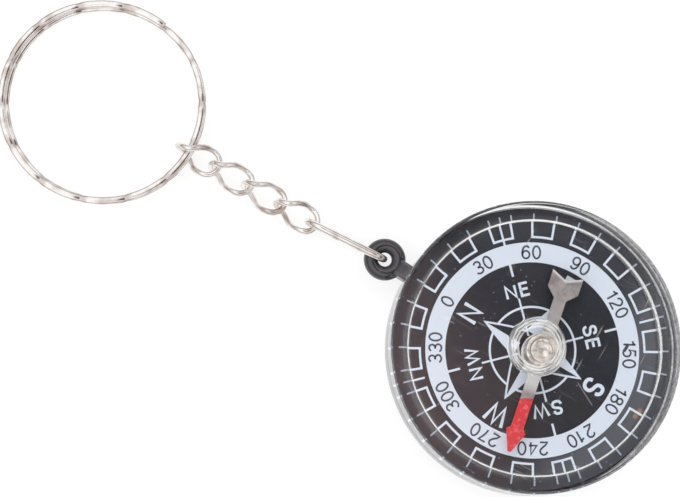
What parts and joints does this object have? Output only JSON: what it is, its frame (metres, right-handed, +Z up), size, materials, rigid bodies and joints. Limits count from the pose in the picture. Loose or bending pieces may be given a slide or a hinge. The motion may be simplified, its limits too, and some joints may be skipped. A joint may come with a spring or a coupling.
{
  "type": "compass keychain",
  "caption": "Pocket compass in a round clear-covered case with a turning needle over a printed card, joined by a side eyelet and a short curb chain to a split key ring.",
  "frame": {"origin": "middle of the case's flat back", "axes": "+Z up out of the dial; +Y along the chain to the key ring, which is north on the card; +X is east on the card"},
  "size_m": [0.045, 0.1145, 0.0096],
  "materials": {
    "black_plastic": "satin moulded black",
    "printed_card": "black card with pale print",
    "clear_plastic": "clear polished moulding with fine scuffs",
    "pin_brass": "turned",
    "needle_steel": "stamped, with a red painted tip",
    "cap_aluminium": "turned",
    "nickel_plate": "bright nickel plate"
  },
  "bodies": {
    "case": {"case_base": "black_plastic", "dial_card": "printed_card", "clear_cover": "clear_plastic", "pivot_pin": "pin_brass"},
    "needle": {"needle_blade": "needle_steel", "needle_cap": "cap_aluminium"},
    "connector": {"connector_link": "nickel_plate"},
    "link_1": {"chain_link_1": "nickel_plate"},
    "link_2": {"chain_link_2": "nickel_plate"},
    "link_3": {"chain_link_3": "nickel_plate"},
    "link_4": {"chain_link_4": "nickel_plate"},
    "ring": {"key_ring": "nickel_plate"}
  },
  "joints": [
    {"name": "needle_turn", "type": "hinge", "parent": "case", "child": "needle", "pos_m": [0, -0.001, 0.0066], "axis": [0, 0, 1], "continuous": true},
    {"name": "connector_swing", "type": "hinge", "parent": "case", "child": "connector", "pos_m": [0.00081, 0.02644, 0.0027], "axis": [0, 0, 1], "range_deg": [-100, 100]},
    {"name": "link_1_lift", "type": "hinge", "parent": "connector", "child": "link_1", "pos_m": [0, 0.03818, 0.0027], "axis": [0.9781, 0, -0.2079], "range_deg": [-110, 110]},
    {"name": "link_2_swing", "type": "hinge", "parent": "link_1", "child": "link_2", "pos_m": [0, 0.04523, 0.0027], "axis": [-0.2079, 0, -0.9781], "range_deg": [-100, 100]},
    {"name": "link_3_lift", "type": "hinge", "parent": "link_2", "child": "link_3", "pos_m": [0, 0.04978, 0.0027], "axis": [-0.9781, 0, 0.2079], "range_deg": [-100, 100]},
    {"name": "link_4_swing", "type": "hinge", "parent": "link_3", "child": "link_4", "pos_m": [0, 0.05683, 0.0027], "axis": [0.2079, 0, 0.9781], "range_deg": [-90, 90]},
    {"name": "key_ring_lift", "type": "hinge", "parent": "link_4", "child": "ring", "pos_m": [0, 0.06057, 0.00255], "axis": [1, 0, 0], "range_deg": [-110, 110]}
  ]
}
